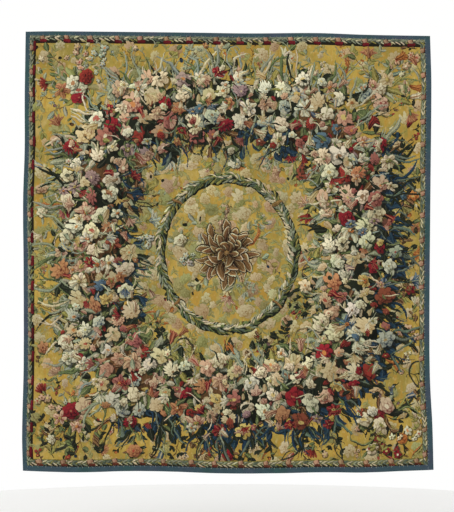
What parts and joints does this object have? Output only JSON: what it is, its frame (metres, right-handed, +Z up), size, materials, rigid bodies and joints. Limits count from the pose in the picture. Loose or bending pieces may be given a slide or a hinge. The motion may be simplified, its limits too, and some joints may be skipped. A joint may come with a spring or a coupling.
{
  "type": "wall tapestry",
  "caption": "Woven wall tapestry: a flowered gold cloth with a braided guard border and blue galloon edging, hung flat from its top edge.",
  "frame": {"origin": "middle of the top edge, on the plane of the wall that the back of the heading lies on", "axes": "+Z up along the height, +X to the right as seen from the front, +Y into the wall; the front faces -Y"},
  "size_m": [2.6295, 0.0264, 2.8296],
  "materials": {
    "tapestry_weave": "wool and silk tapestry weave, flowers and leaves on a gold ground",
    "galloon_weave": "plain slate blue wool rep"
  },
  "bodies": {
    "root": {"woven_cloth": "tapestry_weave", "galloon_top": "galloon_weave", "galloon_bottom": "galloon_weave", "galloon_left": "galloon_weave", "galloon_right": "galloon_weave"}
  },
  "joints": []
}
